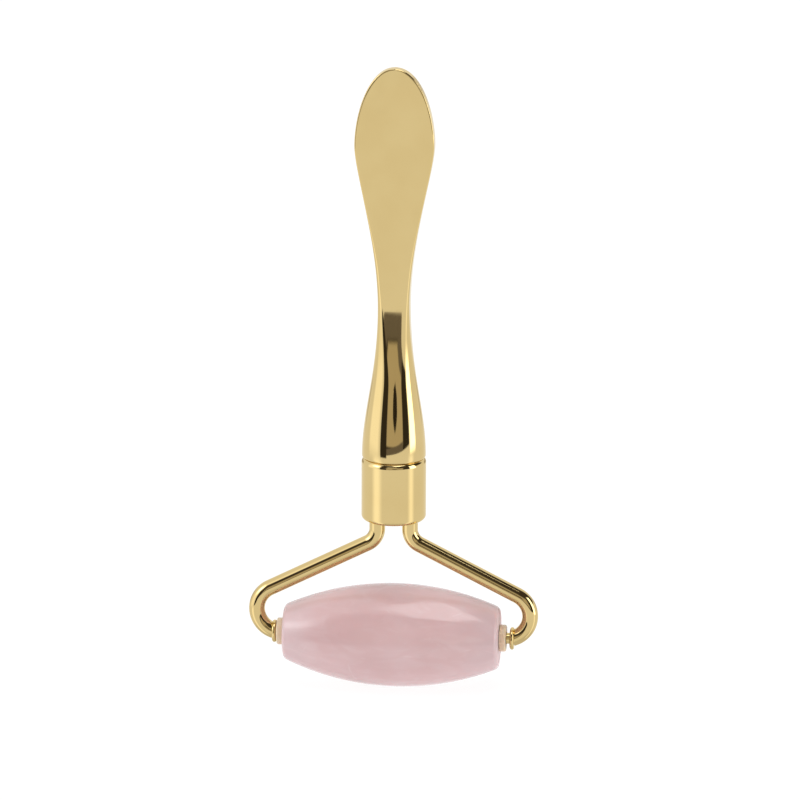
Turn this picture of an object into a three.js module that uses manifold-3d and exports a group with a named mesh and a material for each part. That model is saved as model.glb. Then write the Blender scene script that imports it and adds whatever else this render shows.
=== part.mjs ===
// A small face roller: a spatula handle, a collar, two wire arms and a stone roller on plastic bushes.
// Millimetres. +Z runs up the handle, X along the roller's axis, Y through the spatula's thickness.
// The origin is under the handle's axis, at the height of the stone's lowest point.
import * as THREE from 'three';
import { mergeVertices } from 'three/addons/utils/BufferGeometryUtils.js';
import Module from 'manifold-3d';

const wasm = await Module();
wasm.setup();

// ---------------------------------------------------------------- driving dimensions

const TOTAL_HEIGHT = 120;
const FORK_WIDTH = 55;

// Stone: a barrel whose side is one arc, widest a little to the right of its middle.
const STONE_RADIUS = 9.8;
const STONE_LENGTH = 40.95;
const STONE_ARC_RADIUS = 50.5;
const STONE_BELLY_X = 0.8;
const STONE_FILLET_LEFT = 1.2;
const STONE_FILLET_RIGHT = 1.1;
const STONE_BORE_RADIUS = 1.9;
const AXIS_HEIGHT = STONE_RADIUS;

// Running gear, from the wire's shoulder inwards.
const SHOULDER_X = 23.05;
const RING_THICKNESS = 0.8;
const RING_RADIUS = 2.15;
const FACE_GAP = 0.05;
const END_PLAY = 0.65;
const FLANGE_THICKNESS = 1.3;
const FLANGE_RADIUS = 2.55;
const BARREL_RADIUS = 1.8;
const BARREL_LENGTH = 5;
const BUSH_BEVEL = 0.3;
const PIN_RADIUS = 1.05;
const PIN_END_X = 15.4;
const PIN_ROOT = 0.6;
const RUNNING_CLEARANCE = 0.1;

// Wire arms.
const WIRE_RADIUS = 1.5;
const LEG_X = 3.1;
const LEG_TOP = 38;
const ARM_FALL = THREE.MathUtils.degToRad(26.9);
const ARM_START_Z = 28.7;
const LEG_BEND_RADIUS = 3.3;
const ELBOW_RADIUS = 4.62;

// Collar, the slotted core inside it and the stud that draws them up to the handle.
const COLLAR_RADIUS = 6.1;
const COLLAR_BOTTOM = 32.8;
const COLLAR_TOP = 44.85;
const COLLAR_FILLET = 0.9;
const COLLAR_CROWN_RADIUS = 1.2;
const COLLAR_CROWN_ANGLE = THREE.MathUtils.degToRad(50);
const COLLAR_BORE_RADIUS = 4.7;
const COLLAR_CEILING = 42.3;
const CORE_RADIUS = 4.6;
const CORE_BOTTOM = 33.1;
const CORE_TOP = 42;
const SLOT_RADIUS = 1.6;
const SLOT_TOP = 38.3;
const STUD_RADIUS = 2;
const STUD_BEVEL = 0.4;
const STUD_BOTTOM = 39.3;
const STUD_TOP = 53;
const STUD_END_GAP = 0.25;

// Handle outline, as half-width against height, and the handles of the three curves along it:
// the flare from the base to the neck, the swell to the blade and the point that ends it.
const HANDLE_BOTTOM = 44.9;
const BASE_RADIUS = 6.03;
const BASE_FILLET = 0.5;
const NECK = { halfWidth: 2.98, z: 74.45 };
const BLADE = { halfWidth: 7.48, z: 105.3 };
const FLARE = { leaveZ: 53.8, arriveZ: 62.1, steps: 13 };
const SWELL = { leaveZ: 86.9, arriveZ: 100.4, steps: 10 };
const POINT = { leaveZ: 111, arriveHalfWidth: 5.1, steps: 12 };

// Handle half-thickness: a bell from the base to the start of the flats, then straight to the tip.
const FLAT_START = { halfThickness: 2.4, z: 74.4 };
const BELL = { leaveZ: 51.5, arriveHalfThickness: 3.1, arriveZ: 60.4 };
const TIP_HALF_THICKNESS = 1;
const TIP_SHRINK = { x: 0.3, y: 0.8 };

// Handle section: round up to one height, square-sided from another, with a thinner edge higher up.
const ROUND_UNTIL = 59;
const SQUARE_FROM = 80;
const NECK_EDGE_RADIUS = 0.8;
const BLADE_EDGE_RADIUS = 0.25;
const BLADE_EDGE_FROM = 94;

// Cutting shapes reach this far past what they cut.
const OVERCUT = 1;
const CUT_REACH = 4;

// Facets.
const ROUND_SIDES = 48;
const SMALL_SIDES = 24;
const WIRE_SIDES = 16;
const WIRE_STEPS = 46;
const CORNER_STEPS = 6;
const FILLET_STEPS = 4;
const RING_EDGE_STEPS = 6;
const STONE_ARC_STEPS = 14;
const BASE_FILLET_LIFTS = [0, 0.12, 0.5];
const HALVINGS = 40;
const MERGE_DISTANCE = 1e-4;

// ---------------------------------------------------------------- materials

const gold = () => new THREE.MeshStandardMaterial({ color: 0xd8b465, roughness: 0.08, metalness: 1 });
const zinc = () => new THREE.MeshStandardMaterial({ color: 0x9a9c9e, roughness: 0.55, metalness: 1 });
const steel = () => new THREE.MeshStandardMaterial({ color: 0xb9bbbd, roughness: 0.3, metalness: 1 });
const nylon = () => new THREE.MeshStandardMaterial({ color: 0xd9c3a5, roughness: 0.45, metalness: 0 });
const quartz = () => new THREE.MeshStandardMaterial({ color: 0xd6b3b6, roughness: 0.15, metalness: 0 });

// ---------------------------------------------------------------- geometry helpers

// Only positions, with shared corners merged and slivers of no area dropped.
function closedGeometry(source) {
  const bare = source.clone();
  bare.deleteAttribute('normal');
  bare.deleteAttribute('uv');
  const merged = mergeVertices(bare, MERGE_DISTANCE);
  const corners = merged.index.array;
  const kept = [];
  for (let i = 0; i < corners.length; i += 3) {
    const [a, b, c] = corners.slice(i, i + 3);
    if (a !== b && b !== c && c !== a) kept.push(a, b, c);
  }
  merged.setIndex(kept);
  return merged;
}

function toSolid(source) {
  const merged = closedGeometry(source);
  const vertProperties = new Float32Array(merged.attributes.position.array);
  const triVerts = new Uint32Array(merged.index.array);
  return new wasm.Manifold(new wasm.Mesh({ numProp: 3, vertProperties, triVerts }));
}

function fromSolid(solid) {
  const mesh = solid.getMesh();
  const geometry = new THREE.BufferGeometry();
  geometry.setAttribute('position', new THREE.Float32BufferAttribute(mesh.vertProperties, 3));
  geometry.setIndex(Array.from(mesh.triVerts));
  return geometry;
}

// A solid of revolution about Z, from [radius, z] corners that close on themselves or on the axis.
function lathe(profile, sides) {
  const points = profile.map(([radius, z]) => new THREE.Vector2(radius, z));
  const onAxis = points[0].x === 0;
  if (!onAxis) points.push(points[0].clone());
  const geometry = new THREE.LatheGeometry(points, sides);
  geometry.rotateX(Math.PI / 2);
  return closedGeometry(geometry);
}

// A cylinder along Z between two heights.
function rod(radius, low, high, sides = SMALL_SIDES) {
  const geometry = new THREE.CylinderGeometry(radius, radius, high - low, sides);
  geometry.rotateX(Math.PI / 2);
  geometry.translate(0, 0, (low + high) / 2);
  return geometry;
}

function box(low, high) {
  const size = high.map((value, i) => value - low[i]);
  const middle = high.map((value, i) => (value + low[i]) / 2);
  return new THREE.BoxGeometry(...size).translate(...middle);
}

// A skin through rings that all have the same number of points, closed by a fan at each end.
function loft(rings) {
  const count = rings[0].length;
  const positions = [];
  const index = [];
  for (const ring of rings) {
    for (const point of ring) positions.push(point.x, point.y, point.z);
  }
  for (let r = 0; r + 1 < rings.length; r++) {
    for (let i = 0; i < count; i++) {
      const a = r * count + i;
      const b = r * count + ((i + 1) % count);
      index.push(a, b, b + count, a, b + count, a + count);
    }
  }
  for (const [r, flip] of [[0, true], [rings.length - 1, false]]) {
    const middle = positions.length / 3;
    const centre = rings[r].reduce((sum, p) => sum.add(p), new THREE.Vector3()).divideScalar(count);
    positions.push(centre.x, centre.y, centre.z);
    for (let i = 0; i < count; i++) {
      const a = r * count + i;
      const b = r * count + ((i + 1) % count);
      if (flip) index.push(b, a, middle);
      else index.push(a, b, middle);
    }
  }
  const geometry = new THREE.BufferGeometry();
  geometry.setAttribute('position', new THREE.Float32BufferAttribute(positions, 3));
  geometry.setIndex(index);
  return closedGeometry(geometry);
}

// Points on an arc, as [across, along], from one angle to another about a centre.
function arc(across, along, radius, from, to, steps) {
  const points = [];
  for (let i = 0; i <= steps; i++) {
    const angle = from + ((to - from) * i) / steps;
    points.push([across + radius * Math.cos(angle), along + radius * Math.sin(angle)]);
  }
  return points;
}

// ---------------------------------------------------------------- handle

// Half-width against height: a flared base, a slim neck, a leaf-shaped blade and a blunt point.
function frontOutline() {
  const base = new THREE.Vector2(BASE_RADIUS, HANDLE_BOTTOM + BASE_FILLET);
  const neck = new THREE.Vector2(NECK.halfWidth, NECK.z);
  const blade = new THREE.Vector2(BLADE.halfWidth, BLADE.z);
  const tip = new THREE.Vector2(0, TOTAL_HEIGHT);
  const vector = (x, y) => new THREE.Vector2(x, y);
  const flare = [base, vector(base.x, FLARE.leaveZ), vector(neck.x, FLARE.arriveZ), neck];
  const swell = [neck, vector(neck.x, SWELL.leaveZ), vector(blade.x, SWELL.arriveZ), blade];
  const point = [blade, vector(blade.x, POINT.leaveZ), vector(POINT.arriveHalfWidth, tip.y), tip];
  const outline = [];
  for (const [corners, steps] of [[flare, FLARE.steps], [swell, SWELL.steps], [point, POINT.steps]]) {
    const points = new THREE.CubicBezierCurve(...corners).getPoints(steps);
    outline.push(...(outline.length ? points.slice(1) : points));
  }
  return outline;
}

// Half-thickness against height: the base's bell sweeps in to the start of the flats, and the
// flats then run straight, as one plane each, to the tip.
const bell = new THREE.CubicBezierCurve(
  new THREE.Vector2(BASE_RADIUS, HANDLE_BOTTOM + BASE_FILLET),
  new THREE.Vector2(BASE_RADIUS, BELL.leaveZ),
  new THREE.Vector2(BELL.arriveHalfThickness, BELL.arriveZ),
  new THREE.Vector2(FLAT_START.halfThickness, FLAT_START.z),
);

function halfThickness(z) {
  if (z >= FLAT_START.z) {
    const along = (z - FLAT_START.z) / (TOTAL_HEIGHT - FLAT_START.z);
    return THREE.MathUtils.lerp(FLAT_START.halfThickness, TIP_HALF_THICKNESS, along);
  }
  let low = 0;
  let high = 1;
  for (let i = 0; i < HALVINGS; i++) {
    const middle = (low + high) / 2;
    if (bell.getPoint(middle).y < z) low = middle;
    else high = middle;
  }
  return bell.getPoint(low).x;
}

// A section is a rectangle with elliptical corners: an ellipse at the base, square-sided at the blade.
function section(z, halfWidth, half) {
  const squareness = THREE.MathUtils.smoothstep(z, ROUND_UNTIL, SQUARE_FROM);
  const thinning = THREE.MathUtils.smoothstep(z, SQUARE_FROM, BLADE_EDGE_FROM);
  const edge = THREE.MathUtils.lerp(NECK_EDGE_RADIUS, BLADE_EDGE_RADIUS, thinning);
  const cornerX = Math.min(halfWidth, THREE.MathUtils.lerp(halfWidth, edge, squareness));
  const cornerY = Math.min(half, THREE.MathUtils.lerp(half, edge, squareness));
  const points = [];
  for (let quarter = 0; quarter < 4; quarter++) {
    const sideX = quarter === 0 || quarter === 3 ? 1 : -1;
    const sideY = quarter < 2 ? 1 : -1;
    for (let i = 0; i <= CORNER_STEPS; i++) {
      const angle = (Math.PI / 2) * (quarter + i / CORNER_STEPS);
      const x = sideX * (halfWidth - cornerX) + cornerX * Math.cos(angle);
      const y = sideY * (half - cornerY) + cornerY * Math.sin(angle);
      points.push(new THREE.Vector3(x, y, z));
    }
  }
  return points;
}

function handleGeometry() {
  const rings = [];
  for (const lift of BASE_FILLET_LIFTS) {
    const inset = BASE_FILLET * (1 - Math.sqrt(1 - (1 - lift) ** 2));
    const radius = BASE_RADIUS - inset;
    rings.push(section(HANDLE_BOTTOM + BASE_FILLET * lift, radius, radius));
  }
  const outline = frontOutline();
  const beforeFlat = outline.findIndex((point) => point.y > FLAT_START.z);
  const low = outline[beforeFlat - 1];
  const high = outline[beforeFlat];
  const part = (FLAT_START.z - low.y) / (high.y - low.y);
  outline.splice(beforeFlat, 0, new THREE.Vector2().lerpVectors(low, high, part));
  for (const { x, y } of outline.slice(0, -1)) {
    const toTip = TOTAL_HEIGHT - y;
    const rounding = BLADE_EDGE_RADIUS - Math.min(BLADE_EDGE_RADIUS, toTip);
    const lost = BLADE_EDGE_RADIUS - Math.sqrt(BLADE_EDGE_RADIUS ** 2 - rounding ** 2);
    rings.push(section(y, x, halfThickness(y) - lost));
  }
  const { x: narrow, y: thin } = TIP_SHRINK;
  rings.push(rings.at(-1).map((p) => new THREE.Vector3(p.x * narrow, p.y * thin, TOTAL_HEIGHT)));
  const hole = rod(STUD_RADIUS + RUNNING_CLEARANCE, HANDLE_BOTTOM - OVERCUT, STUD_TOP + STUD_END_GAP);
  return fromSolid(toSolid(loft(rings)).subtract(toSolid(hole)));
}

// ---------------------------------------------------------------- collar, core and stud

function collarGeometry() {
  const hole = STUD_RADIUS + RUNNING_CLEARANCE;
  const foot = [COLLAR_RADIUS - COLLAR_FILLET, COLLAR_BOTTOM + COLLAR_FILLET, COLLAR_FILLET];
  const crownZ = COLLAR_TOP - COLLAR_CROWN_RADIUS * Math.sin(COLLAR_CROWN_ANGLE);
  const crown = [COLLAR_RADIUS - COLLAR_CROWN_RADIUS, crownZ, COLLAR_CROWN_RADIUS];
  return lathe([
    [hole, COLLAR_CEILING],
    [COLLAR_BORE_RADIUS, COLLAR_CEILING],
    [COLLAR_BORE_RADIUS, COLLAR_BOTTOM],
    ...arc(...foot, -Math.PI / 2, 0, FILLET_STEPS),
    ...arc(...crown, 0, COLLAR_CROWN_ANGLE, FILLET_STEPS),
    [hole, COLLAR_TOP],
  ], ROUND_SIDES);
}

// Each slot takes one arm's leg and is open towards the collar, whose wall closes it.
function coreGeometry() {
  let core = toSolid(rod(CORE_RADIUS, CORE_BOTTOM, CORE_TOP, ROUND_SIDES));
  const hole = rod(STUD_RADIUS + RUNNING_CLEARANCE, STUD_BOTTOM - STUD_END_GAP, CORE_TOP + OVERCUT);
  core = core.subtract(toSolid(hole));
  for (const side of [-1, 1]) {
    const low = CORE_BOTTOM - OVERCUT;
    const seat = rod(SLOT_RADIUS, low, SLOT_TOP).translate(side * LEG_X, 0, 0);
    const edges = [side * LEG_X, side * (CORE_RADIUS + OVERCUT)].sort((a, b) => a - b);
    const mouth = box([edges[0], -SLOT_RADIUS, low], [edges[1], SLOT_RADIUS, SLOT_TOP]);
    core = core.subtract(toSolid(seat)).subtract(toSolid(mouth));
  }
  return fromSolid(core);
}

function studGeometry() {
  return lathe([
    [0, STUD_BOTTOM],
    [STUD_RADIUS - STUD_BEVEL, STUD_BOTTOM],
    [STUD_RADIUS, STUD_BOTTOM + STUD_BEVEL],
    [STUD_RADIUS, STUD_TOP - STUD_BEVEL],
    [STUD_RADIUS - STUD_BEVEL, STUD_TOP],
    [0, STUD_TOP],
  ], SMALL_SIDES);
}

// ---------------------------------------------------------------- wire arm

// Centreline of the right arm, in X and Z: leg, bend, sloping arm and the elbow that hooks inwards.
class ArmPath extends THREE.Curve {
  constructor(side) {
    super();
    this.side = side;
    const turn = Math.PI / 2 - ARM_FALL;
    const tangent = LEG_BEND_RADIUS * Math.tan(turn / 2);
    const elbowX = FORK_WIDTH / 2 - WIRE_RADIUS - ELBOW_RADIUS;
    const toLine = LEG_X * Math.sin(ARM_FALL) + ARM_START_Z * Math.cos(ARM_FALL) - ELBOW_RADIUS;
    this.bend = { x: LEG_X + LEG_BEND_RADIUS, z: ARM_START_Z + tangent };
    this.elbow = { x: elbowX, z: (toLine - elbowX * Math.sin(ARM_FALL)) / Math.cos(ARM_FALL) };
    const armStart = LEG_X + tangent * Math.cos(ARM_FALL);
    const armEnd = elbowX + ELBOW_RADIUS * Math.sin(ARM_FALL);
    this.turn = turn;
    this.armStart = { x: armStart, z: ARM_START_Z - tangent * Math.sin(ARM_FALL) };
    this.lengths = [
      LEG_TOP - this.bend.z,
      LEG_BEND_RADIUS * turn,
      (armEnd - armStart) / Math.cos(ARM_FALL),
      ELBOW_RADIUS * (turn + Math.PI / 2),
    ];
  }

  getPoint(t, target = new THREE.Vector3()) {
    let s = t * this.lengths.reduce((a, b) => a + b);
    let piece = 0;
    while (piece < 3 && s > this.lengths[piece]) {
      s -= this.lengths[piece];
      piece += 1;
    }
    let x = LEG_X;
    let z = LEG_TOP - s;
    if (piece === 1) {
      const angle = Math.PI + s / LEG_BEND_RADIUS;
      x = this.bend.x + LEG_BEND_RADIUS * Math.cos(angle);
      z = this.bend.z + LEG_BEND_RADIUS * Math.sin(angle);
    } else if (piece === 2) {
      x = this.armStart.x + s * Math.cos(ARM_FALL);
      z = this.armStart.z - s * Math.sin(ARM_FALL);
    } else if (piece === 3) {
      const angle = this.turn - s / ELBOW_RADIUS;
      x = this.elbow.x + ELBOW_RADIUS * Math.cos(angle);
      z = this.elbow.z + ELBOW_RADIUS * Math.sin(angle);
    }
    return target.set(this.side * x, 0, z);
  }
}

// The wire's end is cut square at a shoulder, and the journal pin stands out of it along the axis.
function armGeometry(side) {
  const circle = new THREE.Shape().absarc(0, 0, WIRE_RADIUS, 0, 2 * Math.PI);
  const wire = new THREE.ExtrudeGeometry(circle, {
    steps: WIRE_STEPS,
    curveSegments: WIRE_SIDES / 2,
    bevelEnabled: false,
    extrudePath: new ArmPath(side),
  });
  const edges = [side * (SHOULDER_X - CUT_REACH), side * SHOULDER_X].sort((a, b) => a - b);
  const beyond = box(
    [edges[0], -CUT_REACH, AXIS_HEIGHT - CUT_REACH],
    [edges[1], CUT_REACH, AXIS_HEIGHT + CUT_REACH],
  );
  const pin = rod(PIN_RADIUS, PIN_END_X, SHOULDER_X + PIN_ROOT);
  pin.rotateY((side * Math.PI) / 2).translate(0, 0, AXIS_HEIGHT);
  return fromSolid(toSolid(wire).subtract(toSolid(beyond)).add(toSolid(pin)));
}

// ---------------------------------------------------------------- running gear, along its own Z

function ringGeometry() {
  const bore = PIN_RADIUS + RUNNING_CLEARANCE;
  const edge = RING_THICKNESS / 2;
  return lathe([
    [bore, 0],
    ...arc(RING_RADIUS - edge, edge, edge, -Math.PI / 2, Math.PI / 2, RING_EDGE_STEPS),
    [bore, RING_THICKNESS],
  ], SMALL_SIDES);
}

// The flange's outer face is at zero and the barrel runs on into the stone.
function bushGeometry() {
  const bore = PIN_RADIUS + RUNNING_CLEARANCE;
  const length = FLANGE_THICKNESS + BARREL_LENGTH;
  return lathe([
    [bore, 0],
    [FLANGE_RADIUS - BUSH_BEVEL, 0],
    [FLANGE_RADIUS, BUSH_BEVEL],
    [FLANGE_RADIUS, FLANGE_THICKNESS],
    [BARREL_RADIUS, FLANGE_THICKNESS],
    [BARREL_RADIUS, length - BUSH_BEVEL],
    [BARREL_RADIUS - BUSH_BEVEL, length],
    [bore, length],
  ], SMALL_SIDES);
}

// Profile of the side arc with a fillet at each end, from the low end to the high end. It is drawn
// about the belly, where the arc is widest, and then moved along so that zero is the stone's middle.
function stoneGeometry() {
  const low = -STONE_LENGTH / 2 - STONE_BELLY_X;
  const high = STONE_LENGTH / 2 - STONE_BELLY_X;
  const arcCentre = STONE_RADIUS - STONE_ARC_RADIUS;
  const fillet = (end, radius) => {
    const along = end - Math.sign(end) * radius;
    const across = arcCentre + Math.sqrt((STONE_ARC_RADIUS - radius) ** 2 - along ** 2);
    return { centre: [across, along, radius], angle: Math.asin(along / (STONE_ARC_RADIUS - radius)) };
  };
  const left = fillet(low, STONE_FILLET_LEFT);
  const right = fillet(high, STONE_FILLET_RIGHT);
  const side = arc(arcCentre, 0, STONE_ARC_RADIUS, left.angle, right.angle, STONE_ARC_STEPS);
  const profile = [
    [STONE_BORE_RADIUS, low],
    ...arc(...left.centre, -Math.PI / 2, left.angle, FILLET_STEPS),
    ...side.slice(1, -1),
    ...arc(...right.centre, right.angle, Math.PI / 2, FILLET_STEPS),
    [STONE_BORE_RADIUS, high],
  ];
  return lathe(profile, ROUND_SIDES).translate(0, 0, STONE_BELLY_X);
}

// ---------------------------------------------------------------- assembly

function mesh(name, geometry, material) {
  const made = new THREE.Mesh(geometry, material);
  made.name = name;
  return made;
}

const roller = new THREE.Group();
roller.add(mesh('handle', handleGeometry(), gold()));
roller.add(mesh('joining_stud', studGeometry(), steel()));
roller.add(mesh('collar', collarGeometry(), gold()));
roller.add(mesh('slotted_core', coreGeometry(), zinc()));
roller.add(mesh('fork_arm_left', armGeometry(-1), gold()));
roller.add(mesh('fork_arm_right', armGeometry(1), gold()));

// The running gear's group turns +Z onto +X. The rolling pieces rest against the left ring.
const runningGear = new THREE.Group();
runningGear.position.z = AXIS_HEIGHT;
runningGear.rotation.y = Math.PI / 2;
roller.add(runningGear);

const ringFace = SHOULDER_X - FACE_GAP;
const stoneLeft = -ringFace + RING_THICKNESS + 2 * FACE_GAP + FLANGE_THICKNESS;
const stoneRight = stoneLeft + STONE_LENGTH;
const gear = [
  ['thrust_ring_left', ringGeometry(), gold(), -ringFace, 1],
  ['thrust_ring_right', ringGeometry(), gold(), ringFace, -1],
  ['bush_left', bushGeometry(), nylon(), stoneLeft - FACE_GAP - FLANGE_THICKNESS, 1],
  ['bush_right', bushGeometry(), nylon(), stoneRight + FACE_GAP + FLANGE_THICKNESS, -1],
  ['roller_stone', stoneGeometry(), quartz(), stoneLeft + STONE_LENGTH / 2, 1],
];
for (const [name, geometry, material, place, way] of gear) {
  const piece = mesh(name, geometry, material);
  piece.position.z = place;
  if (way < 0) piece.rotation.y = Math.PI;
  runningGear.add(piece);
}

// The free gap on the right is the stone's end play.
const freeGap = ringFace - RING_THICKNESS - (stoneRight + FACE_GAP + FLANGE_THICKNESS);
if (Math.abs(freeGap - END_PLAY - FACE_GAP) > MERGE_DISTANCE) throw new Error(`free gap is ${freeGap}`);

export default roller;
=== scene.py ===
"""A small face roller with a gold-plated spatula handle, wire fork and rose quartz stone.

Lengths are in millimetres until a mesh is made, and Blender's own values are in metres.
Azimuths are measured from the front, towards +X, and elevations from the horizontal.
"""
import math

import bmesh
import bpy
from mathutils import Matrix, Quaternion, Vector


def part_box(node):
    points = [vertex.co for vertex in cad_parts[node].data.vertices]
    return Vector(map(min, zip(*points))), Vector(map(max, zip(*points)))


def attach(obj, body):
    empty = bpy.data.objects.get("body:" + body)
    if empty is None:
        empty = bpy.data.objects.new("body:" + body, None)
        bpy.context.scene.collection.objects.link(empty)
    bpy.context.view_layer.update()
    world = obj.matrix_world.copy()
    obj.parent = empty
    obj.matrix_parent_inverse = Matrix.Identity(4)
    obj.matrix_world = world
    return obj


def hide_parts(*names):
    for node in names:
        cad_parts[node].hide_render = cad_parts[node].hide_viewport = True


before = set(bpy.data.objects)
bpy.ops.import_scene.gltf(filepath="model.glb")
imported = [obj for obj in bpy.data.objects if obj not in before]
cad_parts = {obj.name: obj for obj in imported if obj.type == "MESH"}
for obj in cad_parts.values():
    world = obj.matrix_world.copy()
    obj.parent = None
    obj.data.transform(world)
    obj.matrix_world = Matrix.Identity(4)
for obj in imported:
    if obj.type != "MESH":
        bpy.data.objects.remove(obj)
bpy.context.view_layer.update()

MM = 0.001
TAU = 2 * math.pi


def box_mm(node):
    """A CAD node's lowest and highest corners, in millimetres."""
    low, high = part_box(node)
    return low / MM, high / MM


# ------------------------------------------------------------------ driving dimensions

HANDLE_LOW, HANDLE_HIGH = box_mm("handle")
COLLAR_LOW, COLLAR_HIGH = box_mm("collar")
_, ARM_HIGH = box_mm("fork_arm_right")
STONE_LOW, STONE_HIGH = box_mm("roller_stone")
AXIS_HEIGHT = (STONE_LOW.z + STONE_HIGH.z) / 2

# Handle: half-widths from the front, half-thicknesses from the side, and the heights they are at.
# A curve leaves its start and arrives at its end upright, as far as its LEAVE and ARRIVE heights.
BASE_RADIUS = HANDLE_HIGH.y
BASE_FILLET = 0.5
NECK_HALF_WIDTH = 2.98
NECK_Z = 74.45
BLADE_HALF_WIDTH = HANDLE_HIGH.x
BLADE_Z = 105.3
FLARE_LEAVE_Z = 53.8
FLARE_ARRIVE_Z = 62.1
SWELL_LEAVE_Z = 86.9
SWELL_ARRIVE_Z = 100.4
POINT_LEAVE_Z = 111
POINT_HALF_WIDTH = 5.1
FLAT_HALF_THICKNESS = 2.4
FLAT_Z = 74.4
BELL_LEAVE_Z = 51.5
BELL_ARRIVE_Z = 60.4
BELL_ARRIVE_HALF_THICKNESS = 3.1
TIP_HALF_THICKNESS = 1
ROUND_UNTIL = 59
SQUARE_FROM = 80
NECK_EDGE_RADIUS = 0.8
BLADE_EDGE_RADIUS = 0.25
BLADE_EDGE_FROM = 94
STUD_HOLE_RADIUS = 2.1
STUD_HOLE_DEPTH = 6
STUD_HOLE_CHAMFER = 0.3
STUD_PITCH = 0.7
STUD_THREAD_DEPTH = 0.43

# Collar.
COLLAR_RADIUS = COLLAR_HIGH.y
COLLAR_FILLET = 0.9
COLLAR_CROWN_RADIUS = 1.2
COLLAR_CROWN_ANGLE = math.radians(50)
COLLAR_BORE_RADIUS = 4.7
COLLAR_CEILING = 42.3
CAST_EDGE = 0.12

# Wire arms.
WIRE_RADIUS = ARM_HIGH.y
LEG_X = 3.1
LEG_TOP = ARM_HIGH.z
ARM_FALL = math.radians(26.9)
ARM_START_Z = 28.7
LEG_BEND_RADIUS = 3.3
ELBOW_RADIUS = 4.62
SHOULDER_X = 23.05
SHOULDER_ROUNDING = 0.3
PIN_RADIUS = 1.05
PIN_END_X = 15.4
PIN_CHAMFER = 0.15
PIN_FILLET = 0.12

# Running gear.
RUNNING_CLEARANCE = 0.1
FLANGE_THICKNESS = 1.3
BARREL_RADIUS = 1.8
STONE_ARC_RADIUS = 50.5
STONE_BELLY_X = 0.8
STONE_FILLET_LEFT = 1.2
STONE_FILLET_RIGHT = 1.1
STONE_BORE_RADIUS = 1.9

# Camera and studio.
CAMERA_AZIMUTH = math.radians(5.48)
CAMERA_ELEVATION = math.radians(15.79)
CAMERA_ROLL = math.radians(0.2)
CAMERA_DISTANCE = 1.5
CAMERA_LENS = 359.4
CAMERA_TARGET = Vector((0.00112, 0, 0.056))

SHARP_ANGLE = math.radians(32)
SAME_PLACE = 1e-7


# ------------------------------------------------------------------ shape helpers

def mix(a, b, t):
    return a + (b - a) * t


def smoothstep(value, low, high):
    t = min(1, max(0, (value - low) / (high - low)))
    return t * t * (3 - 2 * t)


def bezier(points, t):
    """A point on a cubic Bezier curve."""
    a, b, c, d = points
    s = 1 - t
    weights = (s ** 3, 3 * s * s * t, 3 * s * t * t, t ** 3)
    return tuple(sum(w * p[i] for w, p in zip(weights, (a, b, c, d))) for i in range(2))


def arc(across, along, radius, start, end, steps):
    """Points on an arc about (across, along), from one angle to another."""
    angles = [mix(start, end, i / steps) for i in range(steps + 1)]
    return [(across + radius * math.cos(a), along + radius * math.sin(a)) for a in angles]


def loft(rings, painted_end_glow=(0, -1)):
    """Corners and faces of a skin through rings of equal count, with a fan over the given ends."""
    count = len(rings[0])
    corners = [point for ring in rings for point in ring]
    faces = []
    for r in range(len(rings) - 1):
        for i in range(count):
            a = r * count + i
            b = r * count + (i + 1) % count
            faces.append((a, b, b + count, a + count))
    for end in painted_end_glow:
        r = end % len(rings)
        middle = sum((Vector(p) for p in rings[r]), Vector()) / count
        corners.append(middle)
        for i in range(count):
            faces.append((r * count + i, r * count + (i + 1) % count, len(corners) - 1))
    return corners, faces


def lathe(profile, sides, along_x=None, way=1):
    """A closed profile of (radius, height) turned about Z, or about X from the place given.

    A profile that doesn't touch its axis closes on itself, as a tube does.
    """
    corners = []
    rows = []
    for radius, height in profile:
        if radius == 0:
            rows.append([len(corners)] * sides)
            corners.append((0, 0, height))
            continue
        rows.append([len(corners) + i for i in range(sides)])
        for i in range(sides):
            turn = TAU * i / sides
            corners.append((radius * math.cos(turn), radius * math.sin(turn), height))
    if profile[0][0] > 0:
        rows.append(rows[0])
    faces = []
    for low, high in zip(rows, rows[1:]):
        for i in range(sides):
            j = (i + 1) % sides
            face = (low[i], low[j], high[j], high[i])
            faces.append(tuple(dict.fromkeys(face)))
    if along_x is not None:
        corners = [(along_x + way * z, x, AXIS_HEIGHT + y) for x, y, z in corners]
    return corners, faces


def piece(name, shape, material, body, slot, *nodes):
    """A smooth mesh piece that stands for the CAD nodes and rides on their body."""
    corners, faces = shape
    mesh = bpy.data.meshes.new(name)
    mesh.from_pydata([Vector(corner) * MM for corner in corners], [], faces)
    tidy = bmesh.new()
    tidy.from_mesh(mesh)
    bmesh.ops.remove_doubles(tidy, verts=tidy.verts, dist=SAME_PLACE)
    bmesh.ops.recalc_face_normals(tidy, faces=tidy.faces)
    tidy.to_mesh(mesh)
    tidy.free()
    mesh.shade_smooth()
    mesh.set_sharp_from_angle(angle=SHARP_ANGLE)
    mesh.materials.append(material)
    made = bpy.data.objects.new(name, mesh)
    bpy.context.scene.collection.objects.link(made)
    normals = made.modifiers.new("Flats stay flat", "WEIGHTED_NORMAL")
    normals.keep_sharp = True
    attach(made, body)
    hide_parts(*nodes)
    return made


# ------------------------------------------------------------------ node helpers

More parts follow.
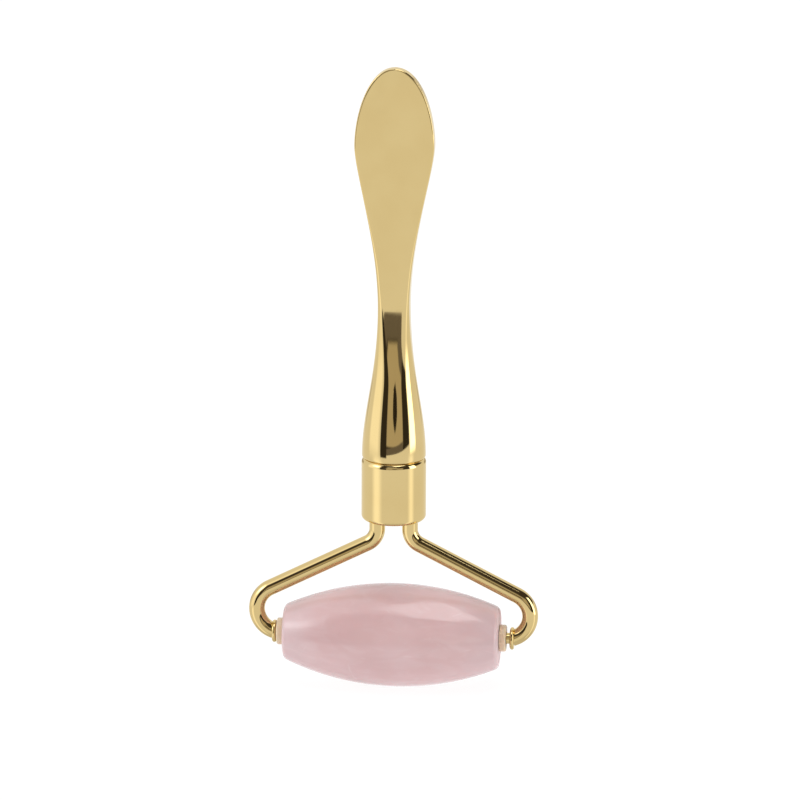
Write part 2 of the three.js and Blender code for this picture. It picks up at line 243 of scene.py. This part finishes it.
class Graph:
    """Adds nodes to one node tree and links them."""

    def __init__(self, tree):
        self.tree = tree
        tree.nodes.clear()

    def node(self, kind, **settings):
        made = self.tree.nodes.new(kind)
        for key, value in settings.items():
            setattr(made, key, value)
        return made

    def put(self, socket, value):
        """Links a socket to another, or sets its value."""
        if isinstance(value, bpy.types.NodeSocket):
            self.tree.links.new(value, socket)
        else:
            socket.default_value = value

    def math(self, operation, *values):
        made = self.node("ShaderNodeMath", operation=operation)
        for socket, value in zip(made.inputs, values):
            self.put(socket, value)
        return made.outputs[0]

    def ease(self, value, low, high, start=0.0, end=1.0, smooth=True):
        """Start below one value, end above another, and a ramp between them."""
        made = self.node("ShaderNodeMapRange")
        made.interpolation_type = "SMOOTHSTEP" if smooth else "LINEAR"
        self.put(made.inputs["Value"], value)
        self.put(made.inputs["From Min"], low)
        self.put(made.inputs["From Max"], high)
        self.put(made.inputs["To Min"], start)
        self.put(made.inputs["To Max"], end)
        return made.outputs["Result"]

    def between(self, value, low, high, soft):
        """One inside a range and nothing outside it, with soft ends."""
        rise = self.ease(value, low - soft, low + soft)
        fall = self.ease(value, high - soft, high + soft, 1.0, 0.0)
        return self.math("MULTIPLY", rise, fall)

    def blend(self, factor, first, second, mode="MIX"):
        made = self.node("ShaderNodeMix", data_type="RGBA", blend_type=mode)
        self.put(made.inputs["Factor"], factor)
        self.put(made.inputs["A"], first)
        self.put(made.inputs["B"], second)
        return made.outputs["Result"]

    def place(self, stretch=(1, 1, 1)):
        """Object coordinates in millimetres, stretched along each axis."""
        where = self.node("ShaderNodeTexCoord").outputs["Object"]
        made = self.node("ShaderNodeMapping")
        made.inputs["Scale"].default_value = [s / MM for s in stretch]
        self.put(made.inputs["Vector"], where)
        return made.outputs["Vector"]

    def noise(self, size, detail=3.0, stretch=(1, 1, 1), warp=0.0):
        """Noise with features of about this size, in millimetres."""
        made = self.node("ShaderNodeTexNoise")
        self.put(made.inputs["Vector"], self.place(stretch))
        made.inputs["Scale"].default_value = 1 / size
        made.inputs["Detail"].default_value = detail
        made.inputs["Distortion"].default_value = warp
        return made.outputs["Fac"]

    def bump(self, height, depth, onto=None):
        """A bump this many millimetres deep, on top of an earlier one."""
        made = self.node("ShaderNodeBump")
        made.inputs["Strength"].default_value = 1.0
        made.inputs["Distance"].default_value = depth * MM
        self.put(made.inputs["Height"], height)
        if onto is not None:
            self.put(made.inputs["Normal"], onto)
        return made.outputs["Normal"]


def rgba(red, green, blue):
    return (red, green, blue, 1.0)


def new_material(name):
    material = bpy.data.materials.new(name)
    material.use_nodes = True
    graph = Graph(material.node_tree)
    shader = graph.node("ShaderNodeBsdfPrincipled")
    out = graph.node("ShaderNodeOutputMaterial")
    graph.put(out.inputs["Surface"], shader.outputs["BSDF"])
    return material, graph, shader.inputs


# ------------------------------------------------------------------ materials

def gold_material(name, grain, waviness):
    """Polished gold plate. The grain is the stretch of its faint polishing lines."""
    material, graph, shader = new_material(name)
    patches = graph.ease(graph.noise(9, 2), 0.35, 0.65)
    colour = graph.blend(patches, rgba(0.664, 0.505, 0.228), rgba(0.682, 0.525, 0.243))
    smudges = graph.ease(graph.noise(5, 4, warp=0.6), 0.45, 0.75)
    lines = graph.noise(0.16, 2, stretch=grain)
    haze = graph.math("MULTIPLY_ADD", smudges, 0.022, 0.030)
    roughness = graph.math("MULTIPLY_ADD", lines, 0.018, haze)
    swell = graph.bump(graph.noise(6, 1), waviness)
    graph.put(shader["Base Color"], colour)
    graph.put(shader["Roughness"], roughness)
    graph.put(shader["Normal"], graph.bump(lines, 0.00004, swell))
    shader["Metallic"].default_value = 1.0
    shader["Specular Tint"].default_value = rgba(1.0, 0.97, 0.88)
    return material


def steel_material():
    """Bright zinc-plated screw steel, with fine lines around the thread."""
    material, graph, shader = new_material("bare_steel")
    lines = graph.noise(0.12, 2, stretch=(0.2, 0.2, 3))
    stain = graph.ease(graph.noise(2.5, 3), 0.4, 0.7)
    graph.put(shader["Base Color"], graph.blend(stain, rgba(0.62, 0.63, 0.64), rgba(0.52, 0.52, 0.5)))
    graph.put(shader["Roughness"], graph.math("MULTIPLY_ADD", lines, 0.14, 0.2))
    graph.put(shader["Normal"], graph.bump(lines, 0.004))
    shader["Metallic"].default_value = 1.0
    return material


def cast_zinc_material():
    """Zinc alloy as it comes from the mould, with a fine grain and darker pores."""
    material, graph, shader = new_material("bare_zinc")
    grain = graph.noise(0.25, 4)
    pores = graph.ease(graph.noise(0.6, 5), 0.62, 0.72)
    graph.put(shader["Base Color"], graph.blend(pores, rgba(0.5, 0.51, 0.52), rgba(0.2, 0.2, 0.21)))
    graph.put(shader["Roughness"], graph.math("MULTIPLY_ADD", grain, 0.25, 0.42))
    graph.put(shader["Normal"], graph.bump(grain, 0.02))
    shader["Metallic"].default_value = 1.0
    return material


def nylon_material():
    """Natural nylon: beige, satin and slightly translucent, with a fine moulded grain."""
    material, graph, shader = new_material("natural_nylon")
    cloud = graph.noise(1.4, 3)
    grain = graph.noise(0.14, 3)
    graph.put(shader["Base Color"], graph.blend(cloud, rgba(0.72, 0.55, 0.38), rgba(0.8, 0.66, 0.5)))
    graph.put(shader["Roughness"], graph.math("MULTIPLY_ADD", grain, 0.2, 0.3))
    graph.put(shader["Normal"], graph.bump(grain, 0.008))
    shader["Subsurface Weight"].default_value = 0.5
    shader["Subsurface Radius"].default_value = (1.0, 0.7, 0.45)
    shader["Subsurface Scale"].default_value = 1.2 * MM
    shader["IOR"].default_value = 1.53
    return material


def quartz_material():
    """Rose quartz: milky clouds and a few faint healed cracks, polished but for its ground ends."""
    material, graph, shader = new_material("rose_quartz")
    clouds = graph.ease(graph.noise(13, 4, stretch=(0.6, 1, 1), warp=0.5), 0.3, 0.7)
    wisps = graph.ease(graph.noise(3.2, 5, stretch=(0.5, 1, 1.4), warp=1.2), 0.4, 0.75)
    along = graph.node("ShaderNodeSeparateXYZ")
    graph.put(along.inputs[0], graph.place())
    # Painted light: towards both ends the stone is painted paler and pinker, for light shining through
    # them.
    painted_end_glow = graph.ease(graph.math("ABSOLUTE", along.outputs["X"]), 11, 20.5)
    heart = graph.blend(clouds, rgba(0.705, 0.474, 0.480), rgba(0.748, 0.530, 0.546))
    rose = graph.blend(painted_end_glow, heart, rgba(0.695, 0.515, 0.532))
    milky = graph.blend(graph.math("MULTIPLY", wisps, 0.35), rose, rgba(0.79, 0.61, 0.625))
    cracks = graph.node("ShaderNodeTexVoronoi", feature="DISTANCE_TO_EDGE")
    graph.put(cracks.inputs["Vector"], graph.place((0.8, 1, 1.3)))
    cracks.inputs["Scale"].default_value = 1 / 11
    healed = graph.ease(cracks.outputs["Distance"], 0.0, 0.02, 1.0, 0.0)
    broken = graph.ease(graph.noise(4, 3), 0.52, 0.66)
    veil = graph.math("MULTIPLY", graph.math("MULTIPLY", healed, broken), 0.3)
    polish = graph.noise(1.2, 3)
    graph.put(shader["Base Color"], graph.blend(veil, milky, rgba(0.83, 0.68, 0.69)))
    gloss = graph.math("MULTIPLY_ADD", polish, 0.05, 0.06)
    from_middle = graph.math("SUBTRACT", along.outputs["X"], (STONE_LOW.x + STONE_HIGH.x) / 2)
    half = (STONE_HIGH.x - STONE_LOW.x) / 2
    ground = graph.ease(graph.math("ABSOLUTE", from_middle), half - 0.15, half - 0.02, 0, 0.5)
    graph.put(shader["Roughness"], graph.math("ADD", gloss, ground))
    graph.put(shader["Normal"], graph.bump(graph.noise(4, 1), 0.006))
    shader["Subsurface Weight"].default_value = 0.45
    shader["Subsurface Radius"].default_value = (1.0, 0.62, 0.6)
    shader["Subsurface Scale"].default_value = 3.0 * MM
    shader["IOR"].default_value = 1.544
    return material


# ------------------------------------------------------------------ handle

def half_width_curves():
    """Three curves of half-width against height: the base's flare, the blade's swell and its point."""
    base_z = HANDLE_LOW.z + BASE_FILLET
    tip_z = HANDLE_HIGH.z
    base = (BASE_RADIUS, base_z)
    neck = (NECK_HALF_WIDTH, NECK_Z)
    blade = (BLADE_HALF_WIDTH, BLADE_Z)
    return (
        (base, (BASE_RADIUS, FLARE_LEAVE_Z), (NECK_HALF_WIDTH, FLARE_ARRIVE_Z), neck),
        (neck, (NECK_HALF_WIDTH, SWELL_LEAVE_Z), (BLADE_HALF_WIDTH, SWELL_ARRIVE_Z), blade),
        (blade, (BLADE_HALF_WIDTH, POINT_LEAVE_Z), (POINT_HALF_WIDTH, tip_z), (0, tip_z)),
    )


def half_thickness(z):
    """The bell sweeps in to the start of the flats, which run straight to the tip."""
    if z >= FLAT_Z:
        along = (z - FLAT_Z) / (HANDLE_HIGH.z - FLAT_Z)
        return mix(FLAT_HALF_THICKNESS, TIP_HALF_THICKNESS, along)
    bell = (
        (BASE_RADIUS, HANDLE_LOW.z + BASE_FILLET),
        (BASE_RADIUS, BELL_LEAVE_Z),
        (BELL_ARRIVE_HALF_THICKNESS, BELL_ARRIVE_Z),
        (FLAT_HALF_THICKNESS, FLAT_Z),
    )
    low, high = 0.0, 1.0
    halvings = 30
    for _ in range(halvings):
        middle = (low + high) / 2
        if bezier(bell, middle)[1] < z:
            low = middle
        else:
            high = middle
    return bezier(bell, low)[0]


def handle_section(z, half_width, half, lean=0.0):
    """A rectangle with elliptical corners: an ellipse at the base and square-sided at the blade.

    Lean is the outline's angle from upright. The blade's rounding runs square to the outline,
    so with lean its corner points also move down, and the edge stays round over the point.
    """
    squareness = smoothstep(z, ROUND_UNTIL, SQUARE_FROM)
    edge = mix(NECK_EDGE_RADIUS, BLADE_EDGE_RADIUS, smoothstep(z, SQUARE_FROM, BLADE_EDGE_FROM))
    corner_x = min(half_width, mix(half_width, edge, squareness))
    corner_y = min(half, mix(half, edge, squareness))
    flat_y = half - corner_y
    corner_steps = 12
    flat_steps = (0.04, 0.5, 0.96)
    ring = []
    for quarter in range(4):
        side_x = 1 if quarter in (0, 3) else -1
        side_y = 1 if quarter < 2 else -1
        for i in range(corner_steps + 1):
            turn = (math.pi / 2) * (quarter + i / corner_steps)
            inset = corner_x * (1 - abs(math.cos(turn)))
            x = side_x * max(0, half_width - inset * math.cos(lean))
            y = side_y * flat_y + corner_y * math.sin(turn)
            ring.append((x, y, z - inset * math.sin(lean)))
        x, y, low = ring[-1]
        for t in flat_steps:
            if quarter % 2 == 0:
                ring.append((mix(x, -x, t), y, low))
            else:
                ring.append((x, mix(y, -y, t), low))
    return ring


def handle_shape():
    """The stud's hole, the base's fillet, and then the outline up to the point's ridge."""
    rings = []
    bottom = HANDLE_LOW.z
    hole = (
        (STUD_HOLE_RADIUS, STUD_HOLE_DEPTH),
        (STUD_HOLE_RADIUS, STUD_HOLE_CHAMFER),
        (STUD_HOLE_RADIUS + STUD_HOLE_CHAMFER, 0),
    )
    for radius, depth in hole:
        mouth = handle_section(bottom, radius, radius)
        rings.append([(x, y, bottom + depth) for x, y, _ in mouth])
    fillet_steps = 8
    for i in range(fillet_steps):
        turn = (math.pi / 2) * i / fillet_steps
        radius = BASE_RADIUS - BASE_FILLET * (1 - math.sin(turn))
        rings.append(handle_section(bottom + BASE_FILLET * (1 - math.cos(turn)), radius, radius))
    outline = []
    for curve, count in zip(half_width_curves(), (44, 40, 56)):
        outline += [bezier(curve, i / count) for i in range(count)]
    outline.append((0, HANDLE_HIGH.z))
    befores = [outline[0]] + outline
    afters = outline[1:] + [(-1, HANDLE_HIGH.z)]
    for before, (half_width, z), after in zip(befores, outline, afters):
        slope = math.atan2(before[0] - after[0], after[1] - before[1])
        lean = slope * smoothstep(z, SQUARE_FROM, BLADE_EDGE_FROM)
        rings.append(handle_section(z, half_width, half_thickness(z), lean))
    return loft(rings, painted_end_glow=(0,))


# ------------------------------------------------------------------ collar, core and stud

def collar_shape():
    """A sleeve with a round foot and a crowned top, whose middle meets the handle's base."""
    bottom, top = COLLAR_LOW.z, COLLAR_HIGH.z
    inner_break = 0.25
    under_base = 0.1
    foot = (COLLAR_RADIUS - COLLAR_FILLET, bottom + COLLAR_FILLET, COLLAR_FILLET)
    crown = (
        COLLAR_RADIUS - COLLAR_CROWN_RADIUS,
        top - COLLAR_CROWN_RADIUS * math.sin(COLLAR_CROWN_ANGLE),
        COLLAR_CROWN_RADIUS,
    )
    return lathe([
        (STUD_HOLE_RADIUS, COLLAR_CEILING),
        (COLLAR_BORE_RADIUS, COLLAR_CEILING),
        (COLLAR_BORE_RADIUS, bottom + inner_break),
        (COLLAR_BORE_RADIUS + inner_break, bottom),
        *arc(*foot, -math.pi / 2, 0, steps=14),
        *arc(*crown, 0, COLLAR_CROWN_ANGLE, steps=14),
        (BASE_RADIUS - BASE_FILLET - under_base, HANDLE_LOW.z),
        (STUD_HOLE_RADIUS, HANDLE_LOW.z),
    ], sides=128)


def stud_shape():
    """A rod with an M4 thread: the radius rises and falls along a helix."""
    low, high = box_mm("joining_stud")
    major = high.x
    sides = 48
    rows_per_turn = 8
    rows = int((high.z - low.z) / STUD_PITCH * rows_per_turn)
    rings = []
    for r in range(rows + 1):
        z = mix(low.z, high.z, r / rows)
        lead_in = min(1, (z - low.z) / STUD_PITCH, (high.z - z) / STUD_PITCH)
        ring = []
        for i in range(sides):
            phase = (z / STUD_PITCH - i / sides) % 1
            crest = min(1, 1.25 * (1 - abs(2 * phase - 1)))
            radius = major - STUD_THREAD_DEPTH * (1 - crest * lead_in)
            turn = TAU * i / sides
            ring.append((radius * math.cos(turn), radius * math.sin(turn), z))
        rings.append(ring)
    return loft(rings)


def core_piece(material):
    """The slotted core, from its CAD mesh with its cast edges rounded off."""
    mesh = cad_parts["slotted_core"].data.copy()
    mesh.name = "core_casting"
    mesh.materials.clear()
    mesh.materials.append(material)
    made = bpy.data.objects.new("core_casting", mesh)
    bpy.context.scene.collection.objects.link(made)
    joined = bmesh.new()
    joined.from_mesh(mesh)
    bmesh.ops.remove_doubles(joined, verts=joined.verts, dist=SAME_PLACE)
    bmesh.ops.dissolve_limit(joined, angle_limit=math.radians(1), verts=joined.verts, edges=joined.edges)
    joined.to_mesh(mesh)
    joined.free()
    edges = made.modifiers.new("Cast edges", "BEVEL")
    edges.width = CAST_EDGE * MM
    edges.segments = 2
    edges.limit_method = "ANGLE"
    edges.angle_limit = math.radians(40)
    mesh.shade_smooth()
    mesh.set_sharp_from_angle(angle=SHARP_ANGLE)
    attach(made, "frame")
    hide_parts("slotted_core")


# ------------------------------------------------------------------ wire arms

def arm_path():
    """Centres and headings of the right arm in X and Z: leg, bend, sloping arm and elbow."""
    turn = math.pi / 2 - ARM_FALL
    tangent = LEG_BEND_RADIUS * math.tan(turn / 2)
    elbow_x = ARM_HIGH.x - WIRE_RADIUS - ELBOW_RADIUS
    to_line = LEG_X * math.sin(ARM_FALL) + ARM_START_Z * math.cos(ARM_FALL) - ELBOW_RADIUS
    elbow_z = (to_line - elbow_x * math.sin(ARM_FALL)) / math.cos(ARM_FALL)
    bend_x, bend_z = LEG_X + LEG_BEND_RADIUS, ARM_START_Z + tangent
    down = math.pi * 1.5
    points = [(LEG_X, z, down) for z in (LEG_TOP, (LEG_TOP + bend_z) / 2)]
    bend_steps = 16
    for i in range(bend_steps + 1):
        angle = math.pi + turn * i / bend_steps
        x = bend_x + LEG_BEND_RADIUS * math.cos(angle)
        z = bend_z + LEG_BEND_RADIUS * math.sin(angle)
        points.append((x, z, angle + math.pi / 2))
    elbow_steps = 64
    last = math.asin((SHOULDER_X - SHOULDER_ROUNDING - elbow_x) / ELBOW_RADIUS)
    end_turn = -math.pi / 2 + last
    for i in range(elbow_steps + 1):
        angle = mix(turn, end_turn, i / elbow_steps)
        x = elbow_x + ELBOW_RADIUS * math.cos(angle)
        z = elbow_z + ELBOW_RADIUS * math.sin(angle)
        points.append((x, z, angle - math.pi / 2))
    return points


def arm_shape(side):
    """The wire is lofted to its rounded shoulder, and the journal pin stands out of that."""
    count = 48
    turns = [TAU * i / count for i in range(count)]
    path = arm_path()
    rings = []
    circle = [(math.cos(t), math.sin(t)) for t in turns]

    def slice_at(x, z, heading, radius):
        across_x, across_z = -math.sin(heading) * radius, math.cos(heading) * radius
        return [(x + across_x * c, radius * s, z + across_z * c) for c, s in circle]

    x, z, heading = path[0]
    for inset, drop in ((0.35, 0.0), (0.1, 0.1), (0.0, 0.35)):
        rings.append(slice_at(x, z - drop, heading, WIRE_RADIUS - inset))
    for x, z, heading in path[1:]:
        rings.append(slice_at(x, z, heading, WIRE_RADIUS))
    end_x, end_z, heading = path[-1]
    slant = 1 / abs(math.cos(heading))
    flip = -1 if math.cos(heading) < 0 else 1
    rounding_steps = 6
    for i in range(rounding_steps + 1):
        bend = (math.pi / 2) * i / rounding_steps
        radius = WIRE_RADIUS - SHOULDER_ROUNDING * (1 - math.cos(bend))
        x = SHOULDER_X + SHOULDER_ROUNDING * (1 - math.sin(bend))
        centre = end_z + (x - end_x) * math.tan(heading)
        rings.append([(x, radius * s, centre + flip * radius * slant * c) for c, s in circle])
    stations = (
        (SHOULDER_X, PIN_RADIUS + PIN_FILLET),
        (SHOULDER_X - PIN_FILLET, PIN_RADIUS),
        (PIN_END_X + PIN_CHAMFER, PIN_RADIUS),
        (PIN_END_X, PIN_RADIUS - PIN_CHAMFER),
    )
    for x, radius in stations:
        rings.append([(x, radius * s, AXIS_HEIGHT + flip * radius * c) for c, s in circle])
    corners, faces = loft(rings)
    return [(side * x, y, z) for x, y, z in corners], faces


# ------------------------------------------------------------------ running gear

def ring_shape(node, side):
    """A thrust ring: a washer with a fully rounded rim."""
    low, high = box_mm(node)
    thickness = high.x - low.x
    edge = thickness / 2
    bore = PIN_RADIUS + RUNNING_CLEARANCE
    ease = 0.08
    profile = [
        (bore, ease),
        (bore + ease, 0),
        *arc(high.y - edge, edge, edge, -math.pi / 2, math.pi / 2, steps=12),
        (bore + ease, thickness),
        (bore, thickness - ease),
    ]
    return lathe(profile, sides=96, along_x=high.x if side > 0 else low.x, way=-side)


def bush_shape(node, side):
    """A flanged nylon bush, with rounded flange corners and broken edges."""
    low, high = box_mm(node)
    flange = high.y
    length = high.x - low.x
    bore = PIN_RADIUS + RUNNING_CLEARANCE
    round_out, round_in = 0.35, 0.18
    bore_break, root, end_break = 0.12, 0.1, 0.3
    profile = [
        (bore + bore_break, 0),
        *arc(flange - round_out, round_out, round_out, -math.pi / 2, 0, steps=6),
        *arc(flange - round_in, FLANGE_THICKNESS - round_in, round_in, 0, math.pi / 2, steps=4),
        (BARREL_RADIUS + root, FLANGE_THICKNESS),
        (BARREL_RADIUS, FLANGE_THICKNESS + root),
        (BARREL_RADIUS, length - end_break),
        (BARREL_RADIUS - 0.25, length),
        (bore + 0.1, length),
        (bore, length - 0.1),
        (bore, bore_break),
    ]
    return lathe(profile, sides=96, along_x=high.x if side > 0 else low.x, way=-side)


def stone_shape():
    """A barrel whose side is one arc, with a fillet at each end and a slightly eased bore.

    The profile is drawn about the belly, where the arc is widest.
    """
    middle = (STONE_LOW.x + STONE_HIGH.x) / 2 + STONE_BELLY_X
    low, high = STONE_LOW.x - middle, STONE_HIGH.x - middle
    centre = (STONE_HIGH.z - STONE_LOW.z) / 2 - STONE_ARC_RADIUS
    ease = 0.15

    def fillet(end, size):
        along = end - math.copysign(size, end)
        across = centre + math.sqrt((STONE_ARC_RADIUS - size) ** 2 - along ** 2)
        return (across, along, size), math.asin(along / (STONE_ARC_RADIUS - size))

    left, left_angle = fillet(low, STONE_FILLET_LEFT)
    right, right_angle = fillet(high, STONE_FILLET_RIGHT)
    profile = [
        (STONE_BORE_RADIUS, low + ease),
        (STONE_BORE_RADIUS + ease, low),
        *arc(*left, -math.pi / 2, left_angle, steps=12),
        *arc(centre, 0, STONE_ARC_RADIUS, left_angle, right_angle, steps=72)[1:-1],
        *arc(*right, right_angle, math.pi / 2, steps=12),
        (STONE_BORE_RADIUS + ease, high),
        (STONE_BORE_RADIUS, high - ease),
    ]
    return lathe(profile, sides=192, along_x=middle)


# ------------------------------------------------------------------ studio

def camera():
    """A long lens from a little above the front and to the right."""
    lens = bpy.data.cameras.new("camera")
    lens.lens = CAMERA_LENS
    lens.sensor_width = 36
    made = bpy.data.objects.new("camera", lens)
    bpy.context.scene.collection.objects.link(made)
    level = math.cos(CAMERA_ELEVATION)
    towards = Vector((
        math.sin(CAMERA_AZIMUTH) * level,
        -math.cos(CAMERA_AZIMUTH) * level,
        math.sin(CAMERA_ELEVATION),
    ))
    made.location = CAMERA_TARGET + towards * CAMERA_DISTANCE
    roll = Quaternion((0, 0, 1), CAMERA_ROLL)
    made.rotation_euler = (towards.to_track_quat("Z", "Y") @ roll).to_euler()
    bpy.context.scene.camera = made


def floor():
    """A plain pale sheet under the stone. Mirrors don't see it, so that they see the tent below it."""
    material, graph, shader = new_material("floor")
    dust = graph.noise(40, 3)
    graph.put(shader["Base Color"], graph.blend(dust, rgba(0.12, 0.12, 0.12), rgba(0.14, 0.14, 0.14)))
    shader["Roughness"].default_value = 0.9
    shader["Specular IOR Level"].default_value = 0.0
    shader["Emission Color"].default_value = rgba(1, 1, 1)
    shader["Emission Strength"].default_value = 0.91
    reach = 8.0
    mesh = bpy.data.meshes.new("floor")
    signs = ((-1, -1), (1, -1), (1, 1), (-1, 1))
    corners = [(x * reach, y * reach, STONE_LOW.z * MM) for x, y in signs]
    mesh.from_pydata(corners, [], [(0, 1, 2, 3)])
    mesh.materials.append(material)
    made = bpy.data.objects.new("floor", mesh)
    bpy.context.scene.collection.objects.link(made)
    made.visible_glossy = False


def studio():
    """A white tent around the object, with dark flags and bright soft boxes on its walls.

    It is painted by direction: azimuth from the camera's side and elevation, in degrees.
    """
    world = bpy.data.worlds.new("studio")
    bpy.context.scene.world = world
    world.use_nodes = True
    graph = Graph(world.node_tree)
    way = graph.node("ShaderNodeTexCoord").outputs["Generated"]
    split = graph.node("ShaderNodeSeparateXYZ")
    graph.put(split.inputs[0], way)
    x, y, z = split.outputs
    sine, cosine = math.sin(CAMERA_AZIMUTH), math.cos(CAMERA_AZIMUTH)
    to_degrees = 180 / math.pi
    ahead = graph.math("SUBTRACT", graph.math("MULTIPLY", x, sine), graph.math("MULTIPLY", y, cosine))
    right = graph.math("ADD", graph.math("MULTIPLY", x, cosine), graph.math("MULTIPLY", y, sine))
    azimuth = graph.math("MULTIPLY", graph.math("ARCTAN2", right, ahead), to_degrees)
    elevation = graph.math("MULTIPLY", graph.math("ARCSINE", z), to_degrees)

    light = rgba(1.0, 1.0, 1.0)
    all_round = (-200, 200)
    room = (0.06, 0.05, 0.04)
    flag = (0.04, 0.035, 0.03)

    def grey(level):
        return (level, level, level)

    def cover(colour, mask):
        nonlocal light
        light = graph.blend(mask, light, rgba(*colour))

    def paint(colour, sides, heights, side_soft, height_soft, slant=0.0, where=azimuth):
        """Paints a patch of the tent over what is there already. Slant is its rise per degree."""
        level = elevation
        if slant:
            level = graph.math("SUBTRACT", elevation, graph.math("MULTIPLY", azimuth, slant))
        cover(colour, graph.math(
            "MULTIPLY",
            graph.between(where, *sides, side_soft),
            graph.between(level, *heights, height_soft),
        ))

    # A bright roof, a duller ground, low soft boxes beside the camera and a tall wall on the left.
    paint(grey(1.35), all_round, (72, 100), 1, 6)
    paint(grey(0.78), all_round, (-100, -42), 1, 6)
    paint(grey(1.5), (56, 73), (-60, -11), 8, 4)
    paint(grey(1.5), (-78, -50), (-60, -13), 11, 4)
    paint(grey(1.4), (-100, -58), (-11, 48), 6, 6)
    # The unlit room above the flags, with a paler patch in front.
    paint(room, (-54, 124), (14, 61), 6, 3)
    paint(room, (80, 124), (50, 67), 6, 3)
    paint((0.55, 0.52, 0.46), (-26, 36), (14, 40), 6, 5)
    paint(room, (13, 44), (21, 48), 6, 5)
    # A narrow hot panel on the right.
    paint((3.5, 3.5, 3.4), (60, 84), (-9, 34), 3, 3)
    # The dark flags around the camera, and the paler gap between them.
    paint(flag, (-50, 57), (-8.1, 14), 2, 0.6, slant=0.05)
    paint(flag, (-50, -27), (-12, 14), 2, 0.8)
    paint((0.58, 0.52, 0.42), (-27, 32), (-3.6, 16), 2, 0.8)
    paint((0.177, 0.16, 0.157), (-27, 32), (-8.1, -3.6), 2, 0.6, slant=0.05)
    # A dark bar in the middle of the gap, wider towards its top.
    half_width = graph.ease(elevation, 1.2, 3.9, -1, 8.5, smooth=False)
    aside = graph.math("ABSOLUTE", graph.math("SUBTRACT", azimuth, 3))
    bar = graph.ease(graph.math("SUBTRACT", half_width, aside), -1, 1)
    cover((0.03, 0.025, 0.02), graph.math("MULTIPLY", bar, graph.ease(elevation, 8, 12, 1, 0)))
    # A soft box overhead: each side is the bearing it faces and its distance from the zenith.
    box = graph.ease(elevation, 30, 40)
    softness = 0.012
    for bearing, reach in ((-130, 0.02), (-55, 0.30), (-5, 0.545), (50, 0.548), (117, 0.3)):
        turn = math.radians(bearing)
        sideways = graph.math("MULTIPLY", right, math.sin(turn))
        outward = graph.math("MULTIPLY_ADD", ahead, math.cos(turn), sideways)
        side = graph.ease(outward, reach - softness, reach + softness, 1, 0)
        box = graph.math("MULTIPLY", box, side)
    cover(grey(3.0), box)
    # A softer light low on the left.
    paint(grey(5.8), (-80, -56), (20, 34), 10, 13)
    # Paler flags behind, so that the metal also reads from the back.
    back = graph.math("SUBTRACT", 180, graph.math("ABSOLUTE", azimuth))
    paint((0.5, 0.46, 0.4), (20, 44), (-10, 6), 4, 2, where=back)

    # Seen directly, the tent is plain white.
    seen = graph.node("ShaderNodeLightPath").outputs["Is Camera Ray"]
    sky = graph.blend(seen, light, rgba(1, 1, 1))
    shader = graph.node("ShaderNodeBackground")
    graph.put(shader.inputs["Color"], sky)
    out = graph.node("ShaderNodeOutputWorld")
    graph.put(out.inputs["Surface"], shader.outputs[0])
    bpy.context.scene.view_settings.view_transform = "Standard"


# ------------------------------------------------------------------ assembly

plate = gold_material("gold_plated_zinc", grain=(1, 1, 0.12), waviness=0.006)
plated_wire = gold_material("gold_plated_wire", grain=(0.25, 1, 0.25), waviness=0.003)
steel = steel_material()
zinc = cast_zinc_material()
nylon = nylon_material()
quartz = quartz_material()

piece("handle_casting", handle_shape(), plate, "frame", "gold_plated_zinc", "handle")
piece("collar_sleeve", collar_shape(), plate, "frame", "gold_plated_zinc", "collar")
piece("stud_thread", stud_shape(), steel, "frame", "bare_steel", "joining_stud")
core_piece(zinc)
for side, hand in ((-1, "left"), (1, "right")):
    arm, ring, bush = f"fork_arm_{hand}", f"thrust_ring_{hand}", f"bush_{hand}"
    piece(f"wire_{hand}", arm_shape(side), plated_wire, "frame", "gold_plated_wire", arm)
    piece(f"washer_{hand}", ring_shape(ring, side), plated_wire, "frame", "gold_plated_wire", ring)
    piece(f"flanged_bush_{hand}", bush_shape(bush, side), nylon, "bushes", "natural_nylon", bush)
piece("stone_barrel", stone_shape(), quartz, "stone", "rose_quartz", "roller_stone")

camera()
floor()
studio()
